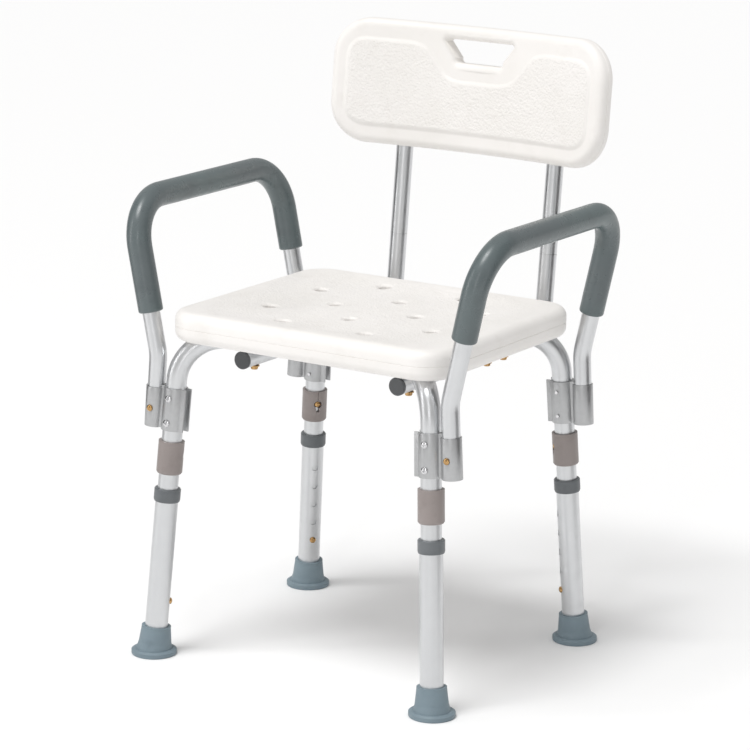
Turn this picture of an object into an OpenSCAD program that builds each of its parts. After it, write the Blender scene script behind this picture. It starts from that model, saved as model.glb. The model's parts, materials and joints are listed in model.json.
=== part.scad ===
// Shower chair with a moulded seat, a lift-off backrest, two lift-off arms and four height-adjustable legs.
// Millimetres. The floor is z = 0, -Y is the front of the chair and +X is the sitter's left-hand side
// as seen from the front. The origin is on the floor at the middle of the chair's bounding box.

/* [Seat] */
// Width of the seat, side to side
seat_w = 396; // [380:1:410]
// Depth of the seat, front to back
seat_d = 342; // [330:1:350]
// Thickness of the seat shell at its rim
seat_t = 38; // [36:1:42]
// Height of the top of the seat above the floor at the lowest leg setting
seat_top = 441.7; // [441:0.1:443]
// Radius of the seat's corners in plan
seat_corner_r = 42; // [36:1:48]
// Radius of the rim between the seat's top, sides and bottom
seat_edge_r = 12; // [9:1:14]
// Wall thickness of the blow-moulded seat and backrest
shell_wall = 3; // [2.5:0.1:3.5]
// Diameter of the seat's drain holes
drain_d = 17; // [12:0.5:20]
// Sideways spacing of the drain-hole columns
drain_pitch_x = 59; // [54:1:62]
// Front-to-back spacing of the drain-hole rows
drain_pitch_y = 58.5; // [52:0.5:60]
// Distance from the middle of the seat back to the middle row of drain holes
drain_mid_y = 7; // [0:1:10]

/* [Legs and cross frame] */
// Distance from the chair's vertical axis to each foot, along its diagonal
foot_s = 270; // [264:1:276]
// Angle in plan between the side-to-side axis and a leg's diagonal
leg_plan_deg = 40.7; // [40:0.1:41.5]
// Outward slope of the legs from the vertical
leg_tilt_deg = 4.45; // [4:0.05:5]
// Diameter of the cross-frame tubes and of the middle leg tubes
frame_tube_d = 25.4; // [25:0.1:25.6]
// Wall thickness of all tubes
tube_wall = 1.5; // [1.2:0.1:1.6]
// Height of the middle of the cross-frame tubes under the seat
run_z = 405; // [404.6:0.1:406]
// Bend radius of the cross-frame tubes
frame_bend_r = 56; // [50:1:60]
// Height of each cross-frame tube where both are flattened to pass each other
flat_h = 11.5; // [10:0.5:12]
// Height of the cut ends of the cross-frame tubes above the floor
frame_end_z = 242; // [241:0.5:243]

/* [Leg extensions] */
// Diameter of the lower leg tubes
lower_tube_d = 28.6; // [28.4:0.1:28.8]
// Height of the upper end of a lower leg tube
lower_top_z = 212; // [210:0.5:213]
// Distance between two height settings
hole_pitch = 25.4; // [25:0.1:25.4]
// Number of height settings
hole_count = 5; // [3:1:5]
// Height of the button and of the lowest hole at the lowest setting
height_button_z = 69; // [66:0.5:70]
// Height of the locking button in the collar
lock_button_z = 259; // [256:0.5:261]
// Lower and upper height of the collar
collar_z = [235, 276.3]; // [230:0.1:280]
// Outside diameter of the collar
collar_d = 32.5; // [32:0.1:33]
// Lower and upper height of the guide ring on a lower leg tube
ring_z = [199, 215.5]; // [195:0.1:218]
// Outside diameter of the guide ring
ring_d = 33.2; // [32.5:0.1:34]
// Diameter of a rubber foot on the floor
foot_d = 57; // [52:0.5:60]
// Height of a rubber foot
foot_h = 36.4; // [34:0.1:38]
// Diameter of all snap buttons
button_d = 8; // [7.5:0.1:8.5]

/* [Arms] */
// Distance from the chair's middle to an arm socket at the socket's mid-height
socket_x = 214.8; // [214:0.1:216]
// Distance from the chair's middle to the arm sockets, front and rear
socket_y = 160; // [159:0.5:161]
// Inward slope of the arm sockets
socket_tilt_deg = 3.55; // [3.2:0.05:4]
// Diameter of the arm, rail and backrest tubes
small_tube_d = 22.2; // [22:0.1:22.4]
// Height of the bend where an arm starts to lean outward
arm_bend_z = 383.5; // [380:0.5:390]
// Outward slope of the upper part of an arm
arm_lean_deg = 12.2; // [10:0.1:14]
// Height of the middle of an arm's top tube
arm_top_z = 570.8; // [560:0.1:580]
// Bend radius of an arm's two top corners
arm_corner_r = 58; // [50:1:62]
// Outside diameter of the arm grips
grip_d = 31; // [29:0.5:33]
// Height of the grip's longer end
grip_long_z = 435; // [430:1:442]
// Height of the grip's shorter end
grip_short_z = 461; // [455:1:470]

/* [Rails and backrest] */
// Distance from the chair's middle to each seat rail and backrest tube
rail_x = 112.4; // [110:0.1:114]
// Height of the middle of the seat rails
rail_z = 381; // [380.5:0.1:381.2]
// Distance from the chair's middle to the front face of a rail's end cap
rail_front_y = 121.8; // [118:0.1:125]
// Bend radius of the rails behind the seat
rail_bend_r = 50; // [46:1:54]
// Backward slope of the backrest
back_tilt_deg = 5.6; // [5:0.1:6.5]
// Distance behind the chair's middle of the backrest tubes at the reference height
back_y = 237.5; // [235:0.5:240]
// Height of the joint between a rail and a backrest tube
back_joint_z = 483; // [478:1:490]
// Height of the upper end of the backrest tubes
back_tube_top_z = 742; // [735:1:750]
// Width of the backrest
back_w = 405; // [400:1:410]
// Height of the backrest along its slope
back_h = 163; // [158:1:168]
// Thickness of the backrest
back_t = 26; // [24:0.5:28]
// Radius of the backrest's corners seen from the front
back_corner_r = 52; // [48:1:56]
// Edge radius of the backrest
back_edge_r = 10.5; // [9:0.5:12]
// Radius of the backrest's hollow, in plan
back_curve_r = 545; // [520:5:600]

/* [Hidden] */
$fn = 64;
slim = 0.05;
lap = 0.3;
swell = 0.06;
tuck = 0.05;
run_gap = 0.08;
frame_r = frame_tube_d / 2;
small_r = small_tube_d / 2;
lower_r = lower_tube_d / 2;
button_r = button_d / 2;
hole_r = button_r + 0.1;
foot_tilt = tan(leg_tilt_deg);
leg_az = [-leg_plan_deg, 180 + leg_plan_deg, 180 - leg_plan_deg, leg_plan_deg];
side = [1, -1, -1, 1];
face = [-1, -1, 1, 1];
bend_mid_z = run_z - frame_bend_r;
bend_mid_s = foot_s - (bend_mid_z + frame_bend_r * sin(leg_tilt_deg)) * foot_tilt
           - frame_bend_r * cos(leg_tilt_deg);
seat_bottom = seat_top - seat_t;
flat_w = (PI * frame_tube_d - PI * flat_h) / 2 + flat_h;
flat_rise = flat_h / 2 + 0.3;
flat_half = 24;
flat_start = 46;
socket_mid_z = 316;
socket_low = -24;
socket_high = 27;
screw_pitch = 31;
clasp_wall = 2.2;
clasp_r = frame_r + slim + clasp_wall;
socket_r = small_r + run_gap + 1.5;
arm_turn = socket_tilt_deg + arm_lean_deg;
arm_bend_r = 60;
arm_bend_l = (arm_bend_z - socket_mid_z) / cos(socket_tilt_deg);
arm_bend_t = arm_bend_r * tan(arm_turn / 2);
arm_rise = (arm_top_z - arm_bend_z) / cos(arm_lean_deg);
arm_tube_low = -22;
grip_r = grip_d / 2;
ref_z = 436;
rail_mid_z = rail_z + rail_bend_r;
rail_top = rail_z + small_r + 0.1;
rail_turn_y = back_y + (rail_mid_z - rail_bend_r * sin(back_tilt_deg) - ref_z) * tan(back_tilt_deg)
            - rail_bend_r * cos(back_tilt_deg);
joint_l = (back_joint_z - ref_z) / cos(back_tilt_deg);
tube_top_l = (back_tube_top_z - ref_z) / cos(back_tilt_deg);
rail_rise_l = (rail_mid_z - rail_bend_r * sin(back_tilt_deg) - ref_z) / cos(back_tilt_deg);
plug_len = 44;
shell_l = 244.9;
shell_y = -6.7;
shell_end_deg = asin((back_w / 2 - back_corner_r) / back_curve_r) + 0.25;
rear_y = back_y + tube_top_l * sin(back_tilt_deg) + small_r * cos(back_tilt_deg);
front_y = foot_s * sin(leg_plan_deg) + foot_d / 2;
mid_y = (rear_y - front_y) / 2;
bolt_y = 93;
rear_bolt_y = 134;
white = [0.93, 0.92, 0.90];
silver = [0.80, 0.81, 0.82];
cast = [0.70, 0.71, 0.72];
chrome = [0.86, 0.86, 0.87];
brass = [0.80, 0.62, 0.28];
taupe = [0.56, 0.52, 0.50];
grey = [0.42, 0.44, 0.45];
slate = [0.45, 0.52, 0.56];
grip_grey = [0.38, 0.42, 0.42];
charcoal = [0.22, 0.22, 0.23];
steel = [0.62, 0.62, 0.62];

// Part to draw

// Distance along a leg for a height above the floor.
function along(z) = z / cos(leg_tilt_deg);

// Distance along an arm's leaning part for a height above the floor.
function arm_along(z) = (z - arm_bend_z) / cos(arm_lean_deg);

// The chair's own frame, with its origin on the floor midway between the legs.
module chair() {
  translate([0, -mid_y, 0]) children();
}

// Leg frame: z runs up the leg, x points outward along its diagonal.
module at_leg(c) {
  chair() rotate([0, 0, leg_az[c]]) translate([foot_s, 0, 0]) rotate([0, -leg_tilt_deg, 0]) children();
}

// Leg frame turned so that x and y lie close to the chair's own x and y.
module at_leg_square(c) {
  at_leg(c) rotate([0, 0, -leg_az[c]]) children();
}

// Arm frame of the +X arm: z runs up the front and rear sockets, which stand at y = -socket_y and +socket_y.
module at_arm() {
  chair() translate([socket_x, 0, socket_mid_z]) rotate([0, -socket_tilt_deg, 0]) children();
}

// The -X arm is the same part turned half round.
module at_arm_side(s) {
  if (s > 0) at_arm() children();
  if (s < 0) translate([0, -mid_y, 0]) rotate([0, 0, 180]) translate([0, mid_y, 0]) at_arm() children();
}

// Backrest frame: z runs up the backrest tubes, y points to the rear.
module at_back() {
  chair() translate([0, back_y, ref_z]) rotate([-back_tilt_deg, 0, 0]) children();
}

// Straight round tube section from height a to height b.
module rod(r, a, b) {
  translate([0, 0, a]) cylinder(r = r, h = b - a);
}

// One half of a cross-frame tube, as a solid of radius r, in the leg's diagonal plane.
module frame_half(r, low) {
  translate([foot_s, 0, 0]) rotate([0, -leg_tilt_deg, 0])
    rod(r, along(low), along(bend_mid_z + frame_bend_r * sin(leg_tilt_deg)) + lap);
  translate([bend_mid_s, 0, bend_mid_z]) rotate([90, 0, 0]) rotate([0, 0, leg_tilt_deg])
    rotate_extrude(angle = 90 - leg_tilt_deg) translate([frame_bend_r, 0]) circle(r = r + swell);
  translate([flat_start, 0, run_z]) rotate([0, 90, 0]) cylinder(r = r, h = bend_mid_s - flat_start + lap);
}

// Flat oval section of a crushed tube, w wide and h high, as thick as t along x.
module oval(w, h, t) {
  translate([0, -(w - h) / 2, -h / 2]) cube([t, w - h, h]);
  for (k = [-1, 1]) translate([0, k * (w - h) / 2, 0]) rotate([0, 90, 0]) cylinder(r = h / 2, h = t, $fn = 32);
}

// The crushed middle of a cross-frame tube, shifted up or down by lift, cut back by inset all round.
module frame_flat(lift, inset, reach) {
  hull() for (k = [-1, 1]) translate([k * flat_half - 0.1, 0, run_z + lift])
    oval(flat_w - 2 * inset, flat_h - 2 * inset, 0.2);
  for (k = [-1, 1]) hull() {
    translate([k * flat_half - 0.1, 0, run_z + lift]) oval(flat_w - 2 * inset, flat_h - 2 * inset, 0.2);
    translate([k > 0 ? flat_start : -flat_start - reach, 0, run_z]) rotate([0, 90, 0])
      cylinder(r = frame_r - inset, h = reach, $fn = 32);
  }
}

// Whole cross-frame tube between two opposite legs. c is the leg on the tube's +s end.
module frame_tube(c, lift) {
  ends = [c, (c + 2) % 4];
  difference() {
    chair() rotate([0, 0, leg_az[c]]) {
      frame_half(frame_r, frame_end_z);
      rotate([0, 0, 180]) frame_half(frame_r, frame_end_z);
      frame_flat(lift, 0, 0.2);
    }
    chair() rotate([0, 0, leg_az[c]]) {
      frame_half(frame_r - tube_wall, frame_end_z - 1);
      rotate([0, 0, 180]) frame_half(frame_r - tube_wall, frame_end_z - 1);
      frame_flat(lift, tube_wall, 0.3);
      translate([0, 0, run_z - 20]) cylinder(r = 3.2, h = 40);
    }
    for (e = ends) {
      at_leg(e) translate([0, 0, along(lock_button_z)]) rotate([0, -90, 0]) cylinder(r = hole_r, h = 20);
      at_leg_square(e) for (k = [-1, 1])
        translate([0, 20, along(socket_mid_z) + k * screw_pitch / 2]) rotate([90, 0, 0]) cylinder(r = 2.15, h = 40);
    }
    chair() for (e = ends)
      translate([side[e] * rail_x, face[e] * bolt_y, run_z - 20]) cylinder(r = 3.2, h = 40);
  }
}

module frame_tube_a() {
  color(silver) frame_tube(3, flat_rise);
}

module frame_tube_b() {
  color(silver) frame_tube(0, -flat_rise);
}

// Slab with rounded corners in plan and rounded edges, its middle at the origin.
module slab(w, d, t, corner, edge) {
  hull() for (x = [-1, 1], y = [-1, 1], z = [-1, 1])
    translate([x * (w / 2 - corner), y * (d / 2 - corner), z * (t / 2 - edge)])
      rotate_extrude($fn = 56) translate([corner - edge, 0]) circle(r = edge, $fn = 32);
}

// Middles of the drain holes: five rows, offset like the five on a dice.
drain_holes = [
  for (row = [-2:2], col = [-2:2])
    if ((row + col + 8) % 2 == 1 && abs(row) + abs(col) < 4 || abs(row) == 2 && abs(col) == 1)
      [col * drain_pitch_x, drain_mid_y + row * drain_pitch_y]
];

// Round channel for a cross-frame tube with its open lower side.
module frame_channel(c) {
  rotate([0, 0, leg_az[c]]) {
    frame_half(frame_r + 0.4, 330);
    rotate([0, 0, 180]) frame_half(frame_r + 0.4, 330);
  }
}

module seat() {
  color(white) chair() difference() {
    union() {
      difference() {
        translate([0, 0, seat_top - seat_t / 2]) slab(seat_w, seat_d, seat_t, seat_corner_r, seat_edge_r);
        translate([0, 0, seat_top - seat_t / 2])
          slab(seat_w - 2 * shell_wall, seat_d - 2 * shell_wall, seat_t - 2 * shell_wall,
               seat_corner_r - shell_wall, seat_edge_r - shell_wall);
      }
      for (p = drain_holes) translate([p[0], p[1], seat_bottom + 1])
        cylinder(r = drain_d / 2 + 2.5, h = seat_t - 2);
      for (a = [leg_plan_deg, -leg_plan_deg]) rotate([0, 0, a])
        translate([-214, -17, seat_bottom + 0.5]) cube([428, 34, 18]);
      translate([-30, -30, seat_bottom + 0.5]) cube([60, 60, 23]);
      for (x = [-1, 1], y = [-1, 1])
        translate([x * rail_x, y * bolt_y, seat_bottom + 1]) cylinder(r = 11, h = seat_t - 2);
      for (x = [-1, 1])
        translate([x * rail_x, rear_bolt_y, rail_top]) cylinder(r = 10, h = seat_top - rail_top - 1);
    }
    for (p = drain_holes) translate([p[0], p[1], seat_bottom - 1]) cylinder(r = drain_d / 2, h = seat_t + 2);
    frame_channel(0);
    frame_channel(3);
    rotate([0, 0, leg_plan_deg]) translate([-47, -20, seat_bottom - 1]) cube([94, 40, run_z - seat_bottom + 14.5]);
    rotate([0, 0, -leg_plan_deg]) translate([-47, -20, seat_bottom - 1]) cube([94, 40, run_z - seat_bottom + 14.5]);
    translate([0, 0, seat_bottom - 1]) cylinder(r = 9, h = run_z - seat_bottom + 19.5);
    for (x = [-1, 1], y = [-bolt_y, bolt_y, rear_bolt_y])
      translate([x * rail_x, y, rail_z]) cylinder(r = 3.1, h = seat_top - rail_z - 8);
  }
}

// Bolt through both crushed tubes at the crossing, with its head below and a nut above.
module cross_bolt() {
  color(steel) chair() {
    translate([0, 0, run_z - 2 * flat_rise - 4.4]) cylinder(r = 5.6, h = 4.1, $fn = 6);
    translate([0, 0, run_z - 2 * flat_rise - 1]) cylinder(r = 3, h = 4 * flat_rise + 3.5);
    translate([0, 0, run_z + 2 * flat_rise - 0.1]) cylinder(r = 5.6, h = 4.6, $fn = 6);
  }
}

// Round-headed bolt with washer, entering upward from the underside of a rail.
module rail_bolt(top) {
  translate([0, 0, rail_z - small_r - 5]) cylinder(r1 = 4, r2 = 4.6, h = 1.2);
  translate([0, 0, rail_z - small_r - 3.8]) cylinder(r = 4.6, h = 2.8);
  translate([0, 0, rail_z - small_r - 1.2]) cylinder(r = 6.5, h = 1.15);
  translate([0, 0, rail_z - small_r - 1]) cylinder(r = 3, h = top - rail_z + small_r + 1);
}

module seat_bolts() {
  color(brass) chair() for (x = [-1, 1], y = [-1, 1])
    translate([x * rail_x, y * bolt_y, 0]) rail_bolt(seat_top - 9);
}

module rail_bolts() {
  color(brass) chair() for (x = [-1, 1]) translate([x * rail_x, rear_bolt_y, 0]) rail_bolt(seat_top - 9);
}

// Path of one seat rail as a solid of radius r: under the seat, then up behind it.
module rail_path(x, r, more) {
  chair() translate([x, -rail_front_y + 4 - more, rail_z]) rotate([-90, 0, 0])
    cylinder(r = r, h = rail_turn_y + rail_front_y - 4 + more + lap);
  chair() translate([x, rail_turn_y, rail_mid_z]) rotate([90, 0, 90]) rotate([0, 0, -90])
    rotate_extrude(angle = 90 - back_tilt_deg) translate([rail_bend_r, 0]) circle(r = r + swell);
  at_back() translate([x, 0, rail_rise_l - lap]) cylinder(r = r, h = joint_l - rail_rise_l + more + lap);
}

module rail(x) {
  difference() {
    rail_path(x, small_r, 0);
    rail_path(x, small_r - tube_wall, 1);
    chair() for (y = [-bolt_y, bolt_y, rear_bolt_y])
      translate([x, y, rail_z - 20]) cylinder(r = 3.1, h = 40);
  }
}

module rail_left() {
  color(silver) rail(-rail_x);
}

module rail_right() {
  color(silver) rail(rail_x);
}

// Plastic plug closing the front end of a rail.
module rail_cap(x) {
  chair() translate([x, -rail_front_y, rail_z]) rotate([-90, 0, 0]) {
    cylinder(r1 = small_r - 0.9, r2 = small_r + 0.15, h = 1.2);
    translate([0, 0, 1.2]) cylinder(r = small_r + 0.15, h = 2.75);
    translate([0, 0, 3.9]) cylinder(r = small_r - tube_wall - slim, h = 12);
  }
}

module rail_cap_left() {
  color(charcoal) rail_cap(-rail_x);
}

module rail_cap_right() {
  color(charcoal) rail_cap(rail_x);
}

// Socket frame of leg c's arm socket.
module at_socket(c) {
  chair() translate([side[c] * socket_x, face[c] * socket_y, socket_mid_z])
    rotate([0, -side[c] * socket_tilt_deg, 0]) children();
}

// Extruded bracket: an open clasp round the leg, a web and the socket for an arm tube.
module bracket(c) {
  mid = along(socket_mid_z);
  difference() {
    union() {
      at_leg_square(c) rod(clasp_r, mid - 25.5, mid + 28.5);
      at_leg_square(c) translate([side[c] > 0 ? 8 : -20, -5.5, mid - 25.5]) cube([12, 11, 54]);
      at_leg_square(c) translate([side[c] > 0 ? -19 : 13, -7.2, mid - 25.5]) cube([6, 2.2, 54]);
      at_leg_square(c) translate([side[c] > 0 ? -19 : 13, 5, mid - 25.5]) cube([6, 2.2, 54]);
      at_socket(c) rod(socket_r, socket_low, socket_high);
    }
    at_leg_square(c) rod(frame_r + slim, mid - 40, mid + 60);
    at_leg_square(c) translate([side[c] > 0 ? -21 : 1, -5, mid - 30]) cube([20, 10, 64]);
    at_socket(c) rod(small_r + run_gap, socket_low - 5, socket_high + 5);
    at_leg_square(c) for (k = [-1, 1])
      translate([0, 20, mid + k * screw_pitch / 2]) rotate([90, 0, 0]) cylinder(r = 2.15, h = 40);
    at_socket(c) rotate([face[c] < 0 ? 90 : -90, 0, 0]) cylinder(r = hole_r + 0.1, h = 20);
  }
}

module bracket_fr() {
  color(cast) bracket(0);
}

module bracket_fl() {
  color(cast) bracket(1);
}

module bracket_rl() {
  color(cast) bracket(2);
}

module bracket_rr() {
  color(cast) bracket(3);
}

// Cross-head screw along z with its head on top and its tail through the far wall.
module bracket_screw() {
  difference() {
    intersection() {
      translate([0, 0, clasp_r + 0.1]) cylinder(r = 4.25, h = 2.6);
      translate([0, 0, clasp_r - 3.6]) sphere(r = 6.3);
    }
    translate([-2.3, -0.5, clasp_r + 1.2]) cube([4.6, 1, 3]);
    translate([-0.5, -2.3, clasp_r + 1.2]) cube([1, 4.6, 3]);
  }
  translate([0, 0, -clasp_r - 1.6]) cylinder(r = 2, h = 2 * clasp_r + 1.9);
}

module bracket_screws() {
  color(chrome) for (c = [0:3], k = [-1, 1])
    at_leg_square(c) translate([0, 0, along(socket_mid_z) + k * screw_pitch / 2])
      rotate([face[c] < 0 ? 90 : -90, 0, 0]) bracket_screw();
}

// Plastic collar over the joint between a frame tube and a middle leg tube.
module collar(c) {
  low = along(collar_z[0]);
  high = along(collar_z[1]);
  button = along(lock_button_z);
  at_leg(c) difference() {
    union() {
      translate([0, 0, low]) cylinder(r1 = collar_d / 2 - 1.4, r2 = collar_d / 2, h = 2);
      rod(collar_d / 2, low + 2, high);
    }
    rod(frame_r + slim, low - 1, high + 1);
    translate([0, 0, button]) rotate([0, -90, 0]) cylinder(r = 5.4, h = 30);
    translate([-30, -2, button - 10]) cube([20, 4, 10]);
    translate([-collar_d / 2 - 1, -0.4, button + 5]) cube([2, 0.8, 20]);
  }
}

module collar_fr() {
  color(taupe) collar(0);
}

module collar_fl() {
  color(taupe) collar(1);
}

module collar_rl() {
  color(taupe) collar(2);
}

module collar_rr() {
  color(taupe) collar(3);
}

// Middle leg tube with a necked upper end that plugs into the frame tube.
module middle_leg(c) {
  low = along(44);
  step = along(frame_end_z) - 0.3;
  top = along(collar_z[1]);
  neck_r = frame_r - tube_wall - 0.1;
  at_leg(c) difference() {
    union() {
      rod(frame_r, low, step);
      rod(neck_r, step - 1, top);
    }
    rod(frame_r - tube_wall, low - 1, step - 4);
    translate([0, 0, step - 4.1]) cylinder(r1 = frame_r - tube_wall, r2 = neck_r - tube_wall, h = 2.2);
    rod(neck_r - tube_wall, step - 3, top + 1);
    translate([0, 0, along(height_button_z)]) rotate([0, -90, 0]) cylinder(r = hole_r, h = 20);
    translate([0, 0, along(lock_button_z)]) rotate([0, -90, 0]) cylinder(r = hole_r, h = 20);
  }
}

module middle_leg_fr() {
  color(silver) middle_leg(0);
}

module middle_leg_fl() {
  color(silver) middle_leg(1);
}

module middle_leg_rl() {
  color(silver) middle_leg(2);
}

module middle_leg_rr() {
  color(silver) middle_leg(3);
}

// Domed snap button along z, from height a to its top b.
module button_head(a, b) {
  intersection() {
    translate([0, 0, a]) cylinder(r = button_r, h = b - a);
    translate([0, 0, b - 6]) sphere(r = 6);
    translate([0, 0, a - 20]) cylinder(r = 12, h = 60);
  }
}

// Straight leaf of spring strip between two points of the x-z plane.
module leaf(x0, z0, x1, z1) {
  translate([x0, 0, z0]) rotate([0, atan2(x1 - x0, z1 - z0), 0])
    translate([-0.3, -3, 0]) cube([0.6, 6, norm([x1 - x0, z1 - z0])]);
}

// V-shaped spring strip that pushes a button outward along -x.
module snap_spring(base, wall, drop) {
  leaf(0, -drop, -base + 0.7, 4);
  leaf(0, -drop, wall, 4);
  translate([0, 3.2, -drop]) rotate([90, 0, 0]) cylinder(r = 1.1, h = 6.4);
}

module height_button(c) {
  at_leg(c) translate([0, 0, along(height_button_z)]) rotate([0, -90, 0]) button_head(8, lower_r + 3);
}

module lock_button(c) {
  at_leg(c) translate([0, 0, along(lock_button_z)]) rotate([0, -90, 0]) button_head(7, frame_r + 2.9);
}

module leg_springs() {
  color(steel) for (c = [0:3]) at_leg(c) {
    translate([0, 0, along(height_button_z)]) rotate([180, 0, 0]) snap_spring(8, 9.6, 20);
    translate([0, 0, along(lock_button_z)]) snap_spring(7, 8.2, 42);
  }
}

module lock_button_fr() {
  color(brass) lock_button(0);
}

module lock_button_fl() {
  color(brass) lock_button(1);
}

module lock_button_rl() {
  color(brass) lock_button(2);
}

module lock_button_rr() {
  color(brass) lock_button(3);
}

module height_button_fr() {
  color(brass) height_button(0);
}

module height_button_fl() {
  color(brass) height_button(1);
}

module height_button_rl() {
  color(brass) height_button(2);
}

module height_button_rr() {
  color(brass) height_button(3);
}

// Lower leg tube with its row of height holes.
module lower_leg(c) {
  at_leg(c) difference() {
    rod(lower_r, 8, along(lower_top_z));
    rod(lower_r - tube_wall - 0.01, 7, along(lower_top_z) + 1);
    for (k = [0:hole_count - 1])
      translate([0, 0, along(height_button_z) + k * hole_pitch]) rotate([0, -90, 0]) cylinder(r = hole_r, h = 20);
  }
}

module lower_leg_fr() {
  color(silver) lower_leg(0);
}

module lower_leg_fl() {
  color(silver) lower_leg(1);
}

module lower_leg_rl() {
  color(silver) lower_leg(2);
}

module lower_leg_rr() {
  color(silver) lower_leg(3);
}

// Plastic guide ring pressed over the upper end of a lower leg tube.
module guide_ring(c) {
  low = along(ring_z[0]);
  high = along(ring_z[1]);
  at_leg(c) difference() {
    union() {
      translate([0, 0, low]) cylinder(r1 = ring_d / 2 - 0.8, r2 = ring_d / 2, h = 2.5);
      rod(ring_d / 2, low + 2.5 - lap, high - 1.5 + lap);
      translate([0, 0, high - 1.5]) cylinder(r1 = ring_d / 2, r2 = ring_d / 2 - 0.9, h = 1.5);
    }
    rod(lower_r + slim, low - 1, along(lower_top_z) + slim);
    rod(frame_r + run_gap, low, high + 1);
  }
}

module guide_ring_fr() {
  color(grey) guide_ring(0);
}

module guide_ring_fl() {
  color(grey) guide_ring(1);
}

module guide_ring_rl() {
  color(grey) guide_ring(2);
}

module guide_ring_rr() {
  color(grey) guide_ring(3);
}

// Rubber foot: a flat flange on the floor and a tapering cup round the tube.
module foot(c) {
  difference() {
    union() {
      chair() rotate([0, 0, leg_az[c]]) translate([foot_s, 0, 0]) {
        cylinder(r1 = foot_d / 2 - 0.8, r2 = foot_d / 2, h = 1);
        translate([0, 0, 1]) cylinder(r = foot_d / 2, h = 4.5);
        translate([0, 0, 5.5]) cylinder(r1 = foot_d / 2, r2 = foot_d / 2 - 3, h = 2);
      }
      at_leg(c) {
        translate([0, 0, 5]) cylinder(r1 = 23.4, r2 = 20.6, h = 10);
        translate([0, 0, 15]) cylinder(r1 = 20.6, r2 = 18.4, h = foot_h - 17);
        rod(18.4, foot_h - 2, foot_h);
      }
    }
    at_leg(c) rod(lower_r + slim, 7.95, foot_h + 2);
    chair() rotate([0, 0, leg_az[c]]) translate([foot_s, 0, -1]) rotate_extrude() {
      translate([10, 0]) square([3, 2.5]);
      translate([18, 0]) square([3, 2.5]);
    }
  }
}

module foot_fr() {
  color(slate) foot(0);
}

module foot_fl() {
  color(slate) foot(1);
}

module foot_rl() {
  color(slate) foot(2);
}

module foot_rr() {
  color(slate) foot(3);
}

// Leaning frame of an arm's upper part, above its bend.
module arm_upper() {
  translate([0, 0, arm_bend_l]) rotate([0, arm_turn, 0]) children();
}

// One leg of an arm, lower and upper straights with the bend between, at y = k * socket_y.
module arm_leg_path(r, k, more) {
  translate([0, k * socket_y, 0]) {
    rod(r, arm_tube_low - more, arm_bend_l - arm_bend_t + lap);
    translate([arm_bend_r, 0, arm_bend_l - arm_bend_t]) rotate([90, 0, 0]) rotate([0, 0, 180 - arm_turn])
      rotate_extrude(angle = arm_turn) translate([arm_bend_r, 0]) circle(r = r + swell);
  }
  translate([0, k * socket_y, 0]) arm_upper() rod(r, arm_bend_t - lap, arm_rise - arm_corner_r + lap);
}

// The arm's two top corners and its top tube, in the leaning frame.
module arm_top_path(r) {
  for (k = [-1, 1]) translate([0, k * (socket_y - arm_corner_r), arm_rise - arm_corner_r])
    rotate([90, 0, 90]) rotate([0, 0, k > 0 ? 0 : 90]) rotate_extrude(angle = 90)
      translate([arm_corner_r, 0]) circle(r = r + swell);
  translate([0, -socket_y + arm_corner_r - lap, arm_rise]) rotate([-90, 0, 0])
    cylinder(r = r, h = 2 * (socket_y - arm_corner_r + lap));
}

module arm_tube(s) {
  at_arm_side(s) difference() {
    union() {
      arm_leg_path(small_r, -1, 0);
      arm_leg_path(small_r, 1, 0);
      arm_upper() arm_top_path(small_r);
    }
    arm_leg_path(small_r - tube_wall, -1, 1);
    arm_leg_path(small_r - tube_wall, 1, 1);
    arm_upper() arm_top_path(small_r - tube_wall);
    for (k = [-1, 1]) translate([0, k * socket_y, 0]) rotate([-k * 90, 0, 0]) cylinder(r = hole_r, h = 20);
  }
}

module arm_tube_right() {
  color(silver) arm_tube(1);
}

module arm_tube_left() {
  color(silver) arm_tube(-1);
}

// Soft grip over the whole top of an arm, its rear end the longer one on the +X arm.
module arm_grip_path(r, more) {
  translate([0, -socket_y, 0]) rod(r, arm_along(grip_short_z) - more, arm_rise - arm_corner_r + lap);
  translate([0, socket_y, 0]) rod(r, arm_along(grip_long_z) - more, arm_rise - arm_corner_r + lap);
  arm_top_path(r);
}

module arm_grip(s) {
  at_arm_side(s) arm_upper() difference() {
    arm_grip_path(grip_r, 0);
    arm_grip_path(small_r + slim, 1);
  }
}

module arm_grip_right() {
  color(grip_grey) arm_grip(1);
}

module arm_grip_left() {
  color(grip_grey) arm_grip(-1);
}

module arm_springs(s) {
  at_arm_side(s) for (k = [-1, 1])
    translate([0, k * socket_y, 0]) rotate([0, 0, -k * 90]) snap_spring(7, 8.2, 18);
}

module arm_springs_right() {
  color(steel) arm_springs(1);
}

module arm_springs_left() {
  color(steel) arm_springs(-1);
}

// Snap button of leg c's arm socket, facing the front on the front sockets and the rear on the rear ones.
module arm_button(c) {
  at_socket(c) rotate([face[c] < 0 ? 90 : -90, 0, 0]) button_head(7, socket_r + 2.3);
}

module arm_button_fr() {
  color(brass) arm_button(0);
}

module arm_button_fl() {
  color(brass) arm_button(1);
}

module arm_button_rl() {
  color(brass) arm_button(2);
}

module arm_button_rr() {
  color(brass) arm_button(3);
}

// Rounded rectangle w by h, its corners drawn with n steps each.
function corner_arc(cx, cy, r, a, n) = [for (i = [0:n]) [cx + r * cos(a + 90 * i / n), cy + r * sin(a + 90 * i / n)]];
function round_rect(w, h, r, n) = concat(
  corner_arc(w / 2 - r, h / 2 - r, r, 0, n), corner_arc(-w / 2 + r, h / 2 - r, r, 90, n),
  corner_arc(-w / 2 + r, -h / 2 + r, r, 180, n), corner_arc(w / 2 - r, -h / 2 + r, r, 270, n));

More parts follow.
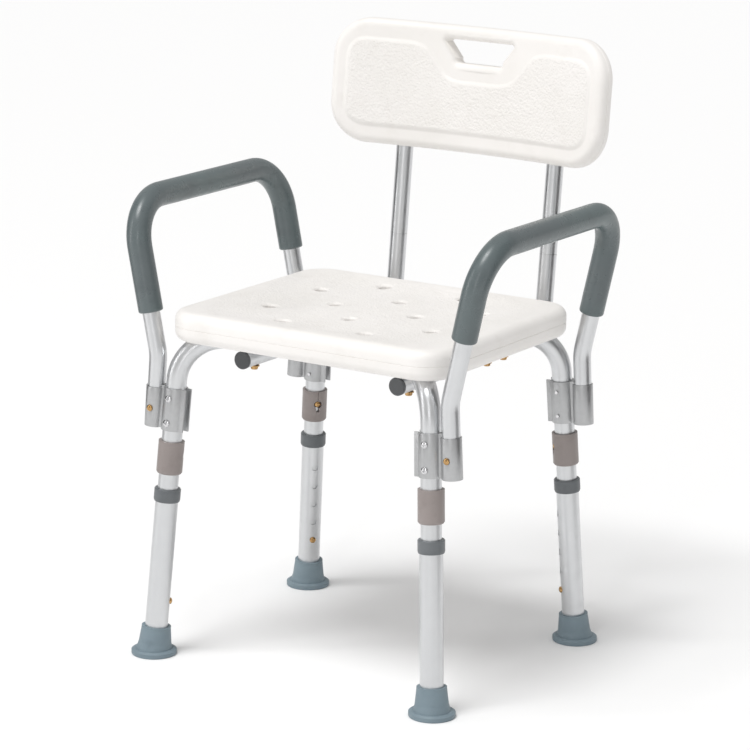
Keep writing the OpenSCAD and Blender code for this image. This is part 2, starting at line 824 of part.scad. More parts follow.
// Curved middle of the backrest, shrunk by inset all round.
module shell_middle(inset) {
  translate([0, shell_y - back_curve_r, shell_l]) rotate([0, 0, 90 - shell_end_deg])
    rotate_extrude(angle = 2 * shell_end_deg, $fn = 240) translate([back_curve_r, 0])
      polygon(round_rect(back_t - 2 * inset, back_h - 2 * inset, back_edge_r - inset, 6));
}

// Rounded end of the backrest on side k, shrunk by inset all round.
module shell_end(k, inset) {
  corner = back_corner_r - inset;
  edge = back_edge_r - inset;
  translate([0, shell_y - back_curve_r, shell_l]) rotate([0, 0, -k * shell_end_deg]) translate([0, back_curve_r, 0])
    intersection() {
      hull() for (z = [-1, 1], y = [-1, 1])
        translate([0, y * (back_t / 2 - inset - edge), z * (back_h / 2 - back_corner_r)]) rotate([90, 0, 0])
          rotate_extrude($fn = 48) translate([corner - edge, 0]) circle(r = edge, $fn = 24);
      translate([k > 0 ? -1 : -99, -50, -100]) cube([100, 100, 200]);
    }
}

// Opening of the backrest's carrying handle, grown by grow all round.
module handle_slot(grow, y0, y1) {
  translate([0, y1, shell_l]) rotate([90, 0, 0]) linear_extrude(height = y1 - y0) hull() {
    for (k = [-1, 1]) {
      translate([k * 46, 58]) circle(r = 5 + grow, $fn = 32);
      translate([k * 30, 38]) circle(r = 5 + grow, $fn = 32);
    }
  }
}

module backrest_shell() {
  color(white) at_back() difference() {
    union() {
      difference() {
        union() {
          shell_middle(0);
          shell_end(1, tuck);
          shell_end(-1, tuck);
        }
        union() {
          shell_middle(shell_wall);
          shell_end(1, shell_wall + tuck);
          shell_end(-1, shell_wall + tuck);
        }
      }
      handle_slot(shell_wall, shell_y - back_t / 2 + 1.2, shell_y + back_t / 2 - 2.4);
      intersection() {
        shell_middle(0.02);
        for (k = [-1, 1]) translate([k * rail_x, 0, 0]) {
          rod(small_r + 3.2, shell_l - back_h / 2 - 1, tube_top_l + 4);
          for (z = [-45, 45]) translate([0, 0, shell_l + z]) rotate([90, 0, 0]) cylinder(r = 6, h = 30);
        }
      }
    }
    handle_slot(0, shell_y - 30, shell_y + 30);
    for (k = [-1, 1]) translate([k * rail_x, 0, 0]) {
      rod(small_r + slim, shell_l - back_h / 2 - 5, tube_top_l + 0.5);
      for (z = [-45, 45]) translate([0, 0, shell_l + z]) rotate([90, 0, 0]) cylinder(r = 2.1, h = 25);
    }
  }
}

// Backrest tube with its necked lower end plugged into the rail.
module backrest_tube(x) {
  neck_r = small_r - tube_wall - run_gap;
  at_back() translate([x, 0, 0]) difference() {
    union() {
      rod(small_r, joint_l + 0.3, tube_top_l);
      rod(neck_r, joint_l - plug_len, joint_l + 1.3);
    }
    rod(small_r - tube_wall, joint_l + 5, tube_top_l + 1);
    translate([0, 0, joint_l + 2.5]) cylinder(r1 = neck_r - tube_wall, r2 = small_r - tube_wall, h = 2.6);
    rod(neck_r - tube_wall, joint_l - plug_len - 1, joint_l + 3);
    for (z = [-45, 45]) translate([0, 20, shell_l + z]) rotate([90, 0, 0]) cylinder(r = 2.1, h = 40);
  }
}

module backrest_tube_left() {
  color(silver) backrest_tube(-rail_x);
}

module backrest_tube_right() {
  color(silver) backrest_tube(rail_x);
}

// Screws that hold the backrest to its tubes, from the rear.
module backrest_screws() {
  color(chrome) at_back() for (k = [-1, 1], z = [-45, 45])
    translate([k * rail_x, 0, shell_l + z]) rotate([90, 0, 0]) {
      translate([0, 0, -small_r - 1.6]) cylinder(r1 = 3, r2 = 4, h = 1.5);
      translate([0, 0, -small_r - 0.3]) cylinder(r = 2, h = small_r + 23.5);
    }
}

seat();
frame_tube_a();
frame_tube_b();
cross_bolt();
seat_bolts();
rail_bolts();
rail_left();
rail_right();
rail_cap_left();
rail_cap_right();
bracket_fr();
bracket_fl();
bracket_rl();
bracket_rr();
bracket_screws();
collar_fr();
collar_fl();
collar_rl();
collar_rr();
middle_leg_fr();
middle_leg_fl();
middle_leg_rl();
middle_leg_rr();
leg_springs();
lock_button_fr();
lock_button_fl();
lock_button_rl();
lock_button_rr();
height_button_fr();
height_button_fl();
height_button_rl();
height_button_rr();
lower_leg_fr();
lower_leg_fl();
lower_leg_rl();
lower_leg_rr();
guide_ring_fr();
guide_ring_fl();
guide_ring_rl();
guide_ring_rr();
foot_fr();
foot_fl();
foot_rl();
foot_rr();
arm_tube_right();
arm_tube_left();
arm_grip_right();
arm_grip_left();
arm_springs_right();
arm_springs_left();
arm_button_fr();
arm_button_fl();
arm_button_rl();
arm_button_rr();
backrest_shell();
backrest_tube_left();
backrest_tube_right();
backrest_screws();
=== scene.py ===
import json
import math

import bmesh
import bpy
import numpy as np
from mathutils import Matrix, Vector


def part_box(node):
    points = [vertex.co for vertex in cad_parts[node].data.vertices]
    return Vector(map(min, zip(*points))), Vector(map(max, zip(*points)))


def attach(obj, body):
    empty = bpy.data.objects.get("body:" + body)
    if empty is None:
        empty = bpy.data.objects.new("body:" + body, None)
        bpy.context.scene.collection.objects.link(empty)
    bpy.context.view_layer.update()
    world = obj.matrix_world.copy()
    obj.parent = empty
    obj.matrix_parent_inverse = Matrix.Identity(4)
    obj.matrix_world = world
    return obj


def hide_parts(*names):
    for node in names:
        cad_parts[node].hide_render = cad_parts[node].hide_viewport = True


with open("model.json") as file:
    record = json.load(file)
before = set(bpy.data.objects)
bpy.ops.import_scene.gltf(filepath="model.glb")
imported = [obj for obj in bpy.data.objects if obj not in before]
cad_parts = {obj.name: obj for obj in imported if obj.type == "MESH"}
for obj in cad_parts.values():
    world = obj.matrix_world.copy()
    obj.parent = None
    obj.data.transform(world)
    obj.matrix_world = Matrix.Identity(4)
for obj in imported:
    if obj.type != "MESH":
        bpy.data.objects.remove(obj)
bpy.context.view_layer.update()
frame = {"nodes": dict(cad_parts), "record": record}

# ---------------------------------------------------------------- camera
MID_Y = 0.036992
CAM_AZIMUTH = math.radians(32.017)
CAM_ELEVATION = math.radians(13.87)
CAM_ROLL = math.radians(1.016)
CAM_DISTANCE = 4.205756
CAM_TARGET = Vector((0.005904, -MID_Y, 0.355833))
CAM_LENS = 162.13


def make_camera():
    """A camera on the photograph's bearing, with its slight roll."""
    ca, sa = math.cos(CAM_AZIMUTH), math.sin(CAM_AZIMUTH)
    ce, se = math.cos(CAM_ELEVATION), math.sin(CAM_ELEVATION)
    back = Vector((sa * ce, -ca * ce, se))
    right = Vector((ca, sa, 0))
    up = Vector((-sa * se, ca * se, ce))
    cg, sg = math.cos(CAM_ROLL), math.sin(CAM_ROLL)
    x_axis = right * cg + up * sg
    y_axis = up * cg - right * sg
    cam = bpy.data.objects.new("camera", bpy.data.cameras.new("camera"))
    bpy.context.scene.collection.objects.link(cam)
    place = Matrix((x_axis, y_axis, back)).transposed().to_4x4()
    place.translation = CAM_TARGET + back * CAM_DISTANCE
    cam.matrix_world = place
    cam.data.sensor_width = 36
    cam.data.lens = CAM_LENS
    cam.data.clip_start, cam.data.clip_end = 0.1, 60
    bpy.context.scene.camera = cam


make_camera()


# ---------------------------------------------------------------- stage
FLOOR_HALF = 45.0
FLOOR_COLOR = (0.93, 0.93, 0.93, 1)
SKY_COLOR = (0.99, 0.985, 0.98, 1)
SKY_STRENGTH = 0.54
BACKDROP_COLOR = (0.99, 0.99, 0.985, 1)
SUN_FROM = Vector((-0.12, -0.36, 0.92))
SUN_ENERGY = 1.8
SUN_ANGLE = math.radians(24)
LIGHT_AIM = Vector((0, 0, 0.4))
CARD_H = 2.4
CARD_COLOR = (0.02, 0.02, 0.02, 1)


def area_light(name, place, size, power):
    """A soft box that looks at the middle of the chair."""
    data = bpy.data.lights.new(name, "AREA")
    data.shape, data.size, data.size_y = "RECTANGLE", size[0], size[1]
    data.energy = power
    lamp = bpy.data.objects.new(name, data)
    bpy.context.scene.collection.objects.link(lamp)
    lamp.location = place
    lamp.rotation_euler = (LIGHT_AIM - Vector(place)).to_track_quat("-Z", "Y").to_euler()


def stage_quad(name, corners, color, rough, spec):
    """A four-cornered face of the set, with a plain matt material."""
    mesh = bpy.data.meshes.new(name)
    mesh.from_pydata(corners, [], [(0, 1, 2, 3)])
    quad = bpy.data.objects.new(name, mesh)
    bpy.context.scene.collection.objects.link(quad)
    mat = bpy.data.materials.new(name)
    mat.use_nodes = True
    shader = mat.node_tree.nodes["Principled BSDF"]
    shader.inputs["Base Color"].default_value = color
    shader.inputs["Roughness"].default_value = rough
    shader.inputs["Specular IOR Level"].default_value = spec
    mesh.materials.append(mat)
    return quad


def dark_card(name, spot, width):
    """A dark card that only reflections see, for the darker edges of the bright metal."""
    across = Vector((-spot[1], spot[0], 0)).normalized() * width / 2
    foot = Vector((*spot, 0))
    lift = Vector((0, 0, CARD_H))
    corners = [foot - across, foot + across, foot + across + lift, foot - across + lift]
    card = stage_quad(name, corners, CARD_COLOR, 0.5, 0.5)
    card.visible_camera = card.visible_diffuse = card.visible_shadow = False


def make_stage():
    """A plain pale floor, a pale surround and soft boxes."""
    corners = [(x * FLOOR_HALF, y * FLOOR_HALF, 0) for x, y in ((-1, -1), (1, -1), (1, 1), (-1, 1))]
    stage_quad("floor", corners, FLOOR_COLOR, 0.9, 0.15)
    world = bpy.data.worlds.new("studio")
    bpy.context.scene.world = world
    world.use_nodes = True
    nodes, links = world.node_tree.nodes, world.node_tree.links
    sky = nodes["Background"]
    sky.inputs["Color"].default_value = SKY_COLOR
    sky.inputs["Strength"].default_value = SKY_STRENGTH
    backdrop = nodes.new("ShaderNodeBackground")
    backdrop.inputs["Color"].default_value = BACKDROP_COLOR
    path, mix = nodes.new("ShaderNodeLightPath"), nodes.new("ShaderNodeMixShader")
    links.new(path.outputs["Is Camera Ray"], mix.inputs[0])
    links.new(sky.outputs[0], mix.inputs[1])
    links.new(backdrop.outputs[0], mix.inputs[2])
    links.new(mix.outputs[0], nodes["World Output"].inputs["Surface"])
    sun = bpy.data.lights.new("key", "SUN")
    sun.energy, sun.angle = SUN_ENERGY, SUN_ANGLE
    key = bpy.data.objects.new("key", sun)
    bpy.context.scene.collection.objects.link(key)
    key.rotation_euler = SUN_FROM.to_track_quat("Z", "Y").to_euler()
    area_light("strip_left", (-2.2, -2.0, 1.3), (0.35, 2.0), 9)
    area_light("strip_front", (1.0, -3.2, 1.5), (0.30, 2.0), 7.5)
    dark_card("card_right", (1.5, 0.35), 1.1)
    dark_card("card_left", (-1.5, -0.25), 0.8)
    bpy.context.scene.view_settings.view_transform = "Standard"


make_stage()


# ---------------------------------------------------------------- materials
class Shade:
    """A small helper that builds one node material."""

    def __init__(self, name, color, rough, metal=0.0, spec=0.5):
        self.mat = bpy.data.materials.new(name)
        self.mat.use_nodes = True
        self.nodes = self.mat.node_tree.nodes
        self.links = self.mat.node_tree.links
        self.shader = self.nodes["Principled BSDF"]
        self.color, self.rough = color, rough
        self.shader.inputs["Base Color"].default_value = (*color, 1)
        self.shader.inputs["Roughness"].default_value = rough
        self.shader.inputs["Metallic"].default_value = metal
        self.shader.inputs["Specular IOR Level"].default_value = spec
        coords = self.nodes.new("ShaderNodeTexCoord")
        self.place = coords.outputs["Object"]

    def noise(self, scale, detail, stretch=(1, 1, 1)):
        """A noise pattern, stretched along the object's axes."""
        mapping = self.nodes.new("ShaderNodeMapping")
        mapping.inputs["Scale"].default_value = stretch
        self.links.new(self.place, mapping.inputs["Vector"])
        tex = self.nodes.new("ShaderNodeTexNoise")
        tex.inputs["Scale"].default_value = scale
        tex.inputs["Detail"].default_value = detail
        tex.inputs["Roughness"].default_value = 0.55
        self.links.new(mapping.outputs["Vector"], tex.inputs["Vector"])
        return tex.outputs["Fac"]

    def cells(self, scale):
        """A soft cell pattern, for pebbled surfaces."""
        tex = self.nodes.new("ShaderNodeTexVoronoi")
        tex.feature = "SMOOTH_F1"
        tex.inputs["Scale"].default_value = scale
        self.links.new(self.place, tex.inputs["Vector"])
        return tex.outputs["Distance"]

    def span(self, value, lo, hi, low=0.0, high=1.0):
        """Map a value from lo..hi to low..high."""
        node = self.nodes.new("ShaderNodeMapRange")
        node.inputs["From Min"].default_value = lo
        node.inputs["From Max"].default_value = hi
        node.inputs["To Min"].default_value = low
        node.inputs["To Max"].default_value = high
        self.links.new(value, node.inputs["Value"])
        return node.outputs["Result"]

    def product(self, a, b):
        """Two values multiplied."""
        node = self.nodes.new("ShaderNodeMath")
        node.operation = "MULTIPLY"
        self.links.new(a, node.inputs[0])
        self.links.new(b, node.inputs[1])
        return node.outputs["Value"]

    def attribute(self, name):
        """A number stored on the mesh."""
        node = self.nodes.new("ShaderNodeAttribute")
        node.attribute_name = name
        return node.outputs["Fac"]

    def tint(self, value, other):
        """Mix the base colour towards another by a value."""
        mix = self.nodes.new("ShaderNodeMix")
        mix.data_type = "RGBA"
        self.links.new(value, mix.inputs["Factor"])
        base = self.shader.inputs["Base Color"]
        if base.is_linked:
            self.links.new(base.links[0].from_socket, mix.inputs["A"])
        else:
            mix.inputs["A"].default_value = (*self.color, 1)
        mix.inputs["B"].default_value = (*other, 1)
        self.links.new(mix.outputs["Result"], base)

    def vary_rough(self, value, amount):
        """Let roughness follow a value by plus or minus amount."""
        self.links.new(
            self.span(value, 0.3, 0.7, self.rough - amount, self.rough + amount),
            self.shader.inputs["Roughness"],
        )

    def bump(self, value, depth):
        """Add a bump layer, depth in metres."""
        node = self.nodes.new("ShaderNodeBump")
        node.inputs["Distance"].default_value = depth
        node.inputs["Strength"].default_value = 1.0
        self.links.new(value, node.inputs["Height"])
        normal = self.shader.inputs["Normal"]
        if normal.is_linked:
            self.links.new(normal.links[0].from_socket, node.inputs["Normal"])
        self.links.new(node.outputs["Normal"], normal)


def linear(r, g, b):
    """An sRGB colour, 0 to 255, as the linear numbers that shaders take."""
    return tuple(v / 3294.6 if v <= 10.3 else ((v / 255 + 0.055) / 1.055) ** 2.4 for v in (r, g, b))


def moulded(name, color, rough, dark, light, grain, depth, spec=0.5):
    """Moulded plastic or rubber: mottled colour, a fine grain and uneven gloss."""
    s = Shade(name, color, rough, spec=spec)
    s.tint(s.span(s.noise(9, 4), 0.38, 0.66), light)
    s.tint(s.span(s.noise(34, 5), 0.52, 0.78, 0, 0.6), dark)
    s.vary_rough(s.noise(60, 4), 0.06)
    s.bump(s.noise(grain, 2), depth)
    s.bump(s.noise(28, 2), depth * 3)
    return s.mat


def white_plastic():
    """Off-white blow-moulded shell: smooth rim, pebbled panel where the mesh says so."""
    s = Shade("white_plastic", linear(243, 240, 237), 0.42, spec=0.45)
    s.tint(s.span(s.noise(7, 4), 0.40, 0.68), linear(238, 235, 231))
    s.tint(s.span(s.noise(40, 5), 0.55, 0.80, 0, 0.5), linear(230, 226, 221))
    s.vary_rough(s.noise(70, 4), 0.07)
    panel = s.attribute("panel")
    pebble = s.product(s.cells(330), panel)
    fine = s.product(s.noise(620, 3), panel)
    s.bump(s.noise(820, 2), 0.00004)
    s.bump(s.noise(16, 3), 0.0007)
    s.bump(pebble, 0.00075)
    s.bump(fine, 0.0005)
    return s.mat


def brushed(name, color, rough, depth, worn):
    """Satin aluminium tube: drawn lines along the leg, faint handling marks."""
    s = Shade(name, color, rough, metal=1.0)
    lines = s.noise(4, 3, (260, 260, 7))
    s.tint(s.span(lines, 0.35, 0.70, 0, 0.10), worn)
    s.tint(s.span(s.noise(26, 5), 0.56, 0.80, 0, 0.22), worn)
    s.tint(s.span(s.noise(1400, 2), 0.45, 0.75, 0, 0.30), worn)
    s.vary_rough(s.noise(90, 4), 0.05)
    s.bump(lines, depth * 0.4)
    s.bump(s.noise(1100, 2), depth)
    return s.mat


def plain_metal(name, color, rough, worn, grain=700, depth=0.00002, mottle=0.6):
    """Small metal parts: fine grain, tarnish and uneven polish."""
    s = Shade(name, color, rough, metal=1.0)
    s.tint(s.span(s.noise(220, 4), 0.42, 0.70, 0, mottle), worn)
    s.vary_rough(s.noise(300, 3), 0.06)
    s.bump(s.noise(grain, 2), depth)
    return s.mat


MATERIALS = {
    "white_plastic": white_plastic(),
    "tube_aluminium": brushed("tube_aluminium", (0.68, 0.69, 0.70), 0.34, 0.00002, (0.60, 0.60, 0.61)),
    "bracket_aluminium": plain_metal("bracket_aluminium", (0.50, 0.505, 0.51), 0.42, (0.44, 0.445, 0.45),
                                     1400, 0.00005, 0.35),
    "screw_chrome": plain_metal("screw_chrome", (0.74, 0.74, 0.75), 0.14, (0.52, 0.52, 0.54)),
    "button_brass": plain_metal("button_brass", (0.60, 0.37, 0.16), 0.18, (0.28, 0.16, 0.07)),
    "collar_plastic": moulded("collar_plastic", linear(143, 134, 131), 0.40, linear(126, 117, 114),
                              linear(150, 141, 138), 1300, 0.00004),
    "ring_plastic": moulded("ring_plastic", linear(98, 102, 105), 0.38, linear(84, 88, 91),
                            linear(108, 112, 115), 1300, 0.00004),
    "foot_rubber": moulded("foot_rubber", linear(118, 134, 143), 0.52, linear(98, 113, 122),
                           linear(130, 146, 154), 900, 0.00006, 0.4),
    "grip_rubber": moulded("grip_rubber", linear(94, 102, 104), 0.30, linear(81, 89, 91),
                           linear(95, 107, 108), 1000, 0.00003, 0.55),
    "cap_plastic": moulded("cap_plastic", linear(74, 76, 78), 0.42, linear(58, 60, 62),
                           linear(88, 90, 92), 1200, 0.00004),
    "plain_steel": plain_metal("plain_steel", (0.58, 0.58, 0.58), 0.36, (0.40, 0.40, 0.41)),
}

slot_of = {s["node"]: s["material_slot"] for s in frame["record"]["subparts"]}
for node, thing in frame["nodes"].items():
    thing.data.materials.clear()
    thing.data.materials.append(MATERIALS[slot_of[node]])


# ---------------------------------------------------------------- mesh helpers
def add_piece(name, verts, faces, slot, body, replaced, smooth):
    """A mesh piece that rides on a body, stands for a CAD node and shades smooth except at sharp edges."""
    mesh = bpy.data.meshes.new(name)
    mesh.from_pydata([tuple(v) for v in verts], [], [tuple(f) for f in faces])
    mesh.validate()
    piece = bpy.data.objects.new(name, mesh)
    bpy.context.scene.collection.objects.link(piece)
    dress(piece, slot, body, replaced, smooth)
    return piece


def dress(piece, slot, body, replaced, smooth):
    """Finish a piece: outward faces, smooth shading, material, slot, body and the node it stands for."""
    made = bmesh.new()
    made.from_mesh(piece.data)
    bmesh.ops.recalc_face_normals(made, faces=made.faces)
    made.to_mesh(piece.data)
    made.free()
    for poly in piece.data.polygons:
        poly.use_smooth = True
    piece.data.set_sharp_from_angle(angle=smooth)
    piece.data.materials.clear()
    piece.data.materials.append(MATERIALS[slot])
    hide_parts(replaced)
    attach(piece, body)


def smoothstep(lo, hi, value):
    """0 below lo, 1 above hi, and a smooth rise between; arrays welcome."""
    t = np.clip((value - lo) / (hi - lo), 0, 1)
    return t * t * (3 - 2 * t)


def outline(half_w, half_d, corner, arc_steps, side_steps):
    """Points of a rounded rectangle, counter-clockwise, always as many for the same steps."""
    points = []
    corners = [(1, -1, -90), (1, 1, 0), (-1, 1, 90), (-1, -1, 180)]
    for k, (sx, sy, start) in enumerate(corners):
        cx, cy = sx * (half_w - corner), sy * (half_d - corner)
        for i in range(arc_steps + 1):
            a = math.radians(start + 90 * i / arc_steps)
            points.append((cx + corner * math.cos(a), cy + corner * math.sin(a)))
        nx, ny, turn = corners[(k + 1) % 4]
        ex = nx * (half_w - corner) + corner * math.cos(math.radians(turn))
        ey = ny * (half_d - corner) + corner * math.sin(math.radians(turn))
        px, py = points[-1]
        steps = side_steps[k % 2]
        for i in range(1, steps):
            points.append((px + (ex - px) * i / steps, py + (ey - py) * i / steps))
    return points


def slab_mesh(w, d, t, corner, edge, spacing, groove=0.0006):
    """A slab with rounded corners and edges and a parting groove round its side, as a dense closed mesh."""
    arc_steps = 22
    side_steps = (max(4, int((d - 2 * corner) / spacing)), max(4, int((w - 2 * corner) / spacing)))
    rings = []
    inner = min(w, d) / 2 - 0.0015
    insets = list(np.arange(edge, inner, spacing)) + [inner]
    for inset in reversed(insets):
        rings.append((inset, -t / 2))
    for i in range(1, 9):
        a = math.radians(90 * i / 8)
        rings.append((edge * (1 - math.sin(a)), -t / 2 + edge * (1 - math.cos(a))))
    for z in (-0.0010, -0.0005):
        rings.append((0.0, z))
    rings.append((groove, 0.0))
    for z in (0.0005, 0.0010):
        rings.append((0.0, z))
    for i in range(0, 9):
        a = math.radians(90 * i / 8)
        rings.append((edge * (1 - math.cos(a)), t / 2 - edge * (1 - math.sin(a))))
    for inset in insets[1:]:
        rings.append((inset, t / 2))
    verts, faces = [], []
    for inset, z in rings:
        r = max(corner - inset, 0.0012)
        ring = outline(w / 2 - inset, d / 2 - inset, min(r, d / 2 - inset), arc_steps, side_steps)
        verts += [(x, y, z) for x, y in ring]
    n = len(verts) // len(rings)
    for k in range(len(rings) - 1):
        for i in range(n):
            j = (i + 1) % n
            faces.append((k * n + i, k * n + j, (k + 1) * n + j, (k + 1) * n + i))
    cap = 2 * (arc_steps + 1) + side_steps[0] - 1
    far = cap + side_steps[1] - 1
    pairs = [(i, cap - 1 - i) for i in range(cap // 2, cap)]
    pairs += [(cap - 1 + j, n - j) for j in range(1, side_steps[1])]
    pairs += [(far + j, far + cap - 1 - j) for j in range(cap // 2 + 1)]
    last = (len(rings) - 1) * n
    for (a, b), (c, e) in zip(pairs, pairs[1:]):
        quad = list(dict.fromkeys((a, c, e, b)))
        if len(quad) > 2:
            faces.append(tuple(reversed(quad)))
            faces.append(tuple(last + i for i in quad))
    return verts, faces


def loft(rings):
    """A closed solid through rings of equal length, capped at both ends."""
    n = len(rings[0])
    verts = [p for ring in rings for p in ring]
    faces = []
    for k in range(len(rings) - 1):
        for i in range(n):
            j = (i + 1) % n
            faces.append((k * n + i, k * n + j, (k + 1) * n + j, (k + 1) * n + i))
    faces.append(tuple(reversed(range(n))))
    faces.append(tuple((len(rings) - 1) * n + i for i in range(n)))
    return verts, faces


def cut(verts, faces, cutters):
    """The mesh less each cutter, as numpy vertices and a list of faces."""
    def raw(v, f):
        mesh = bpy.data.meshes.new("work")
        mesh.from_pydata([tuple(p) for p in v], [], [tuple(q) for q in f])
        made = bmesh.new()
        made.from_mesh(mesh)
        bmesh.ops.recalc_face_normals(made, faces=made.faces)
        made.to_mesh(mesh)
        made.free()
        thing = bpy.data.objects.new("work", mesh)
        bpy.context.scene.collection.objects.link(thing)
        return thing

    body = raw(verts, faces)
    all_v, all_f = [], []
    for v, f in cutters:
        base = len(all_v)
        all_v += [tuple(p) for p in v]
        all_f += [tuple(base + i for i in q) for q in f]
    tool = raw(all_v, all_f)
    step = body.modifiers.new("cut", "BOOLEAN")
    step.operation, step.solver, step.object = "DIFFERENCE", "EXACT", tool
    shown = body.evaluated_get(bpy.context.evaluated_depsgraph_get())
    mesh = shown.to_mesh()
    points = np.array([v.co for v in mesh.vertices], float)
    polys = [tuple(p.vertices) for p in mesh.polygons]
    shown.to_mesh_clear()
    for thing in (body, tool):
        data = thing.data
        bpy.data.objects.remove(thing)
        bpy.data.meshes.remove(data)
    return points, polys


def ring_at(x, y, z, r, n=48):
    """A level circle of points."""
    turns = [2 * math.pi * i / n for i in range(n)]
    return [(x + r * math.cos(a), y + r * math.sin(a), z) for a in turns]


def inside(points, polygon):
    """Signed distance from points to a closed polygon, positive inside."""
    p = np.asarray(points, float)
    a = np.asarray(polygon, float)
    b = np.roll(a, -1, axis=0)
    best = np.full(len(p), 1e9)
    crossings = np.zeros(len(p), int)
    for (ax, ay), (bx, by) in zip(a, b):
        dx, dy = bx - ax, by - ay
        t = np.clip(((p[:, 0] - ax) * dx + (p[:, 1] - ay) * dy) / (dx * dx + dy * dy), 0, 1)
        best = np.minimum(best, np.hypot(p[:, 0] - ax - t * dx, p[:, 1] - ay - t * dy))
        over = (ay > p[:, 1]) != (by > p[:, 1])
        if dy != 0:
            crossings += over & (p[:, 0] < ax + (p[:, 1] - ay) * dx / dy)
    return np.where(crossings % 2 == 1, best, -best)


def rounded(points, times=3):
    """A closed polygon with its corners cut smooth (Chaikin)."""
    pts = [Vector(p) for p in points]
    for _ in range(times):
        out = []
        for i, p in enumerate(pts):
            q = pts[(i + 1) % len(pts)]
            out += [p * 0.75 + q * 0.25, p * 0.25 + q * 0.75]
        pts = out
    return [tuple(p) for p in pts]


def set_panel(piece, values):
    """Store the panel mask on the mesh for the pebbled grain."""
    layer = piece.data.attributes.new("panel", "FLOAT", "POINT")
    layer.data.foreach_set("value", np.asarray(values, np.float32))


# ---------------------------------------------------------------- seat
SEAT_LO, SEAT_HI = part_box("seat")
SEAT_T = 0.038
SEAT_MID = Vector(((SEAT_LO.x + SEAT_HI.x) / 2, (SEAT_LO.y + SEAT_HI.y) / 2, SEAT_HI.z - SEAT_T / 2))
SEAT_DISH = 0.0048
PANEL_SINK = 0.0006
LEG_PLAN = math.radians(40.7)
RUN_Z = 0.405
TUBE_BEND_S = 0.18667
TUBE_BEND_R = 0.056
RAIL_X = 0.1124
BOSS_Y = 0.134
SEAT_CORNER = 0.042
SEAT_EDGE = 0.012
DRAIN_R = 0.0085
DRAIN_X = 0.059
DRAIN_Y = 0.0585
DRAIN_MID = 0.007
DRAIN_LIP = 0.0028


def drain_places():
    """Middles of the twelve drain holes, from the seat's middle."""
    rows = {-2: (-1, 1), -1: (-2, 0, 2), 0: (-1, 1), 1: (-2, 0, 2), 2: (-1, 1)}
    return [(c * DRAIN_X, DRAIN_MID + r * DRAIN_Y) for r, cols in rows.items() for c in cols]


def drain_cutter(x, y, t):
    """A hole with rounded lips at both faces."""
    lip = []
    for i in range(6):
        turn = math.sin(math.radians(90 * i / 5))
        lip.append((t / 2 - DRAIN_LIP * turn, DRAIN_R + DRAIN_LIP * (1 - turn) ** 1.4))
    rows = [(t / 2 + 0.002, DRAIN_R + DRAIN_LIP)] + lip
    return loft([ring_at(x, y, -z, r) for z, r in rows] + [ring_at(x, y, z, r) for z, r in reversed(rows)])


def channel_cutters(angle):
    """Channel under the seat that follows a cross-frame tube, and a pocket for its crushed middle."""
    r, n = 0.0131, 32
    level = RUN_Z - SEAT_MID.z
    along = Vector((math.cos(angle), math.sin(angle), 0))
    across = Vector((-along.y, along.x, 0))
    turns = [math.radians(a) for a in range(-81, 0, 9)] + [0.0]
    path = [(a, -TUBE_BEND_S) for a in turns] + [(-a, TUBE_BEND_S) for a in reversed(turns)]
    steps = [2 * math.pi * i / n for i in range(n)]
    rings = []
    for a, s in path:
        sunk = level - TUBE_BEND_R * (1 - math.cos(a))
        middle = along * (s + TUBE_BEND_R * math.sin(a)) + Vector((0, 0, sunk))
        up = along * math.sin(a) + Vector((0, 0, math.cos(a)))
        rings.append([middle + across * r * math.cos(t) + up * r * math.sin(t) for t in steps])
    half_w, half_l, top, low = 0.020, 0.047, level + 0.0135, level - 0.05
    corners = [(half_w, low), (half_w, top), (-half_w, top), (-half_w, low)]
    pocket = [[along * s + across * v + Vector((0, 0, h)) for v, h in corners] for s in (-half_l, half_l)]
    return [loft(rings), loft(pocket)]


def seat_boss(x, y):
    """Flared boss between the seat's underside and a rail, as one more closed shell."""
    low, high = SEAT_LO.z - SEAT_MID.z, -SEAT_T / 2
    rows = [(low, 0.0094), (low + 0.0006, 0.0100), (high - 0.0030, 0.0101), (high - 0.0012, 0.0107),
            (high - 0.0002, 0.0122), (high + 0.0004, 0.0140)]
    return loft([ring_at(x, y, z, r, 40) for z, r in rows])


